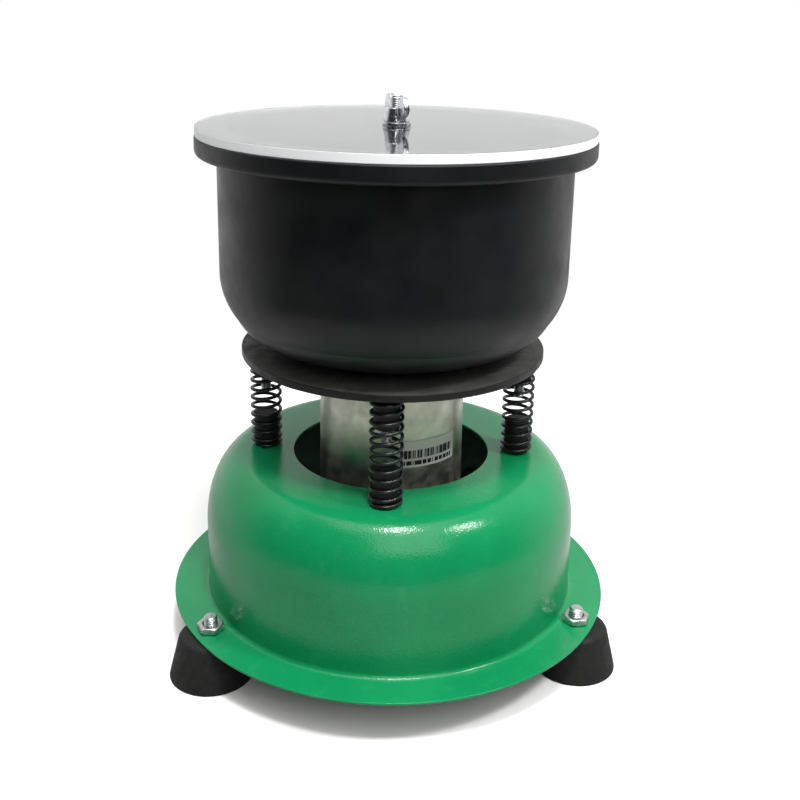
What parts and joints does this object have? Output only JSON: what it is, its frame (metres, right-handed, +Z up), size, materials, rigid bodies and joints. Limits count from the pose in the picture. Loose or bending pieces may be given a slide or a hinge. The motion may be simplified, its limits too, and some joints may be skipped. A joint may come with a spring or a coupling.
{
  "type": "vibratory rock tumbler",
  "caption": "Vibratory rock tumbler: round lidded bowl and motor on a sprung plate, over a pressed dome base with a wide flange and conical rubber feet.",
  "frame": {"origin": "middle of the footprint's bounding box, on the floor; the machine's vertical axis stands 1.7 mm to its left and 6.8 mm in front of it, because the back and right feet reach out further than the flange", "axes": "+Z up along the machine's axis, +X to the right and -Y to the front, each pointing at a spring"},
  "size_m": [0.2733, 0.2834, 0.3307],
  "materials": {
    "green_enamel": "gloss enamel on spun sheet steel",
    "black_rubber": "matt moulded rubber",
    "zinc_plated_fastener": "bright zinc plate",
    "black_spring_steel": "black oxide, oiled",
    "black_post_rubber": "matt moulded rubber",
    "black_painted_plate": "satin black paint on steel plate",
    "galvanised_tube": "zinc coated, mottled",
    "cast_bracket": "as cast and machined",
    "bearing_steel": "ground",
    "dark_iron": "plain",
    "copper_winding": "varnished enamelled wire",
    "label_paper": "white film label",
    "black_bowl_plastic": "satin moulded plastic",
    "clear_acrylic": "clear polished sheet"
  },
  "bodies": {
    "base": {"base_shell": "green_enamel", "foot_back": "black_rubber", "foot_left": "black_rubber", "foot_right": "black_rubber", "foot_bolt_back": "zinc_plated_fastener", "foot_bolt_left": "zinc_plated_fastener", "foot_bolt_right": "zinc_plated_fastener", "foot_nut_back": "zinc_plated_fastener", "foot_nut_left": "zinc_plated_fastener", "foot_nut_right": "zinc_plated_fastener", "spring_right": "black_spring_steel", "lower_post_right": "black_post_rubber", "lower_screw_right": "zinc_plated_fastener", "spring_back": "black_spring_steel", "lower_post_back": "black_post_rubber", "lower_screw_back": "zinc_plated_fastener", "spring_left": "black_spring_steel", "lower_post_left": "black_post_rubber", "lower_screw_left": "zinc_plated_fastener", "spring_front": "black_spring_steel", "lower_post_front": "black_post_rubber", "lower_screw_front": "zinc_plated_fastener", "cord_outlet": "black_rubber"},
    "shaking_unit": {"vibration_plate": "black_painted_plate", "upper_post_right": "black_post_rubber", "upper_stud_right": "zinc_plated_fastener", "upper_post_back": "black_post_rubber", "upper_stud_back": "zinc_plated_fastener", "upper_post_left": "black_post_rubber", "upper_stud_left": "zinc_plated_fastener", "upper_post_front": "black_post_rubber", "upper_stud_front": "zinc_plated_fastener", "motor_tube": "galvanised_tube", "motor_bracket_upper": "cast_bracket", "motor_bracket_lower": "cast_bracket", "bearing_upper": "bearing_steel", "bearing_lower": "bearing_steel", "stator": "dark_iron", "winding_upper": "copper_winding", "winding_lower": "copper_winding", "motor_cover": "cast_bracket", "motor_label": "label_paper", "bowl": "black_bowl_plastic", "centre_stud": "zinc_plated_fastener", "stud_jam_nut": "zinc_plated_fastener", "bowl_washer": "zinc_plated_fastener", "bowl_nut": "zinc_plated_fastener"},
    "rotor": {"rotor_shaft": "bearing_steel", "rotor_core": "dark_iron", "eccentric_upper": "dark_iron", "eccentric_lower": "dark_iron"},
    "lid": {"lid": "clear_acrylic"},
    "wing_washer": {"wing_washer": "zinc_plated_fastener"},
    "wing_nut": {"wing_nut": "zinc_plated_fastener"}
  },
  "joints": [
    {"name": "suspension_bounce", "type": "slide", "parent": "base", "child": "shaking_unit", "axis": [0, 0, 1], "range_m": [-0.012, 0.005], "stiffness_N_per_m": 14600, "springref_m": 0.0037, "deforming": ["spring_right", "spring_back", "spring_left", "spring_front"]},
    {"name": "rotor_spin", "type": "hinge", "parent": "shaking_unit", "child": "rotor", "pos_m": [-0.00172, -0.00676, 0.1142], "axis": [0, 0, 1], "continuous": true},
    {"name": "lid_lift", "type": "slide", "parent": "shaking_unit", "child": "lid", "axis": [0, 0, 1], "range_m": [0, 0.08]},
    {"name": "wing_nut_rise", "type": "slide", "parent": "lid", "child": "wing_washer", "axis": [0, 0, 1], "range_m": [0, 0.0051]},
    {"name": "wing_nut_spin", "type": "hinge", "parent": "wing_washer", "child": "wing_nut", "pos_m": [-0.00172, -0.00676, 0.3202], "axis": [0, 0, 1], "range_deg": [0, 1440]}
  ],
  "couplings": [
    {"joint": "wing_nut_rise", "follows": "wing_nut_spin", "m_per_rad": 0.00019894}
  ]
}
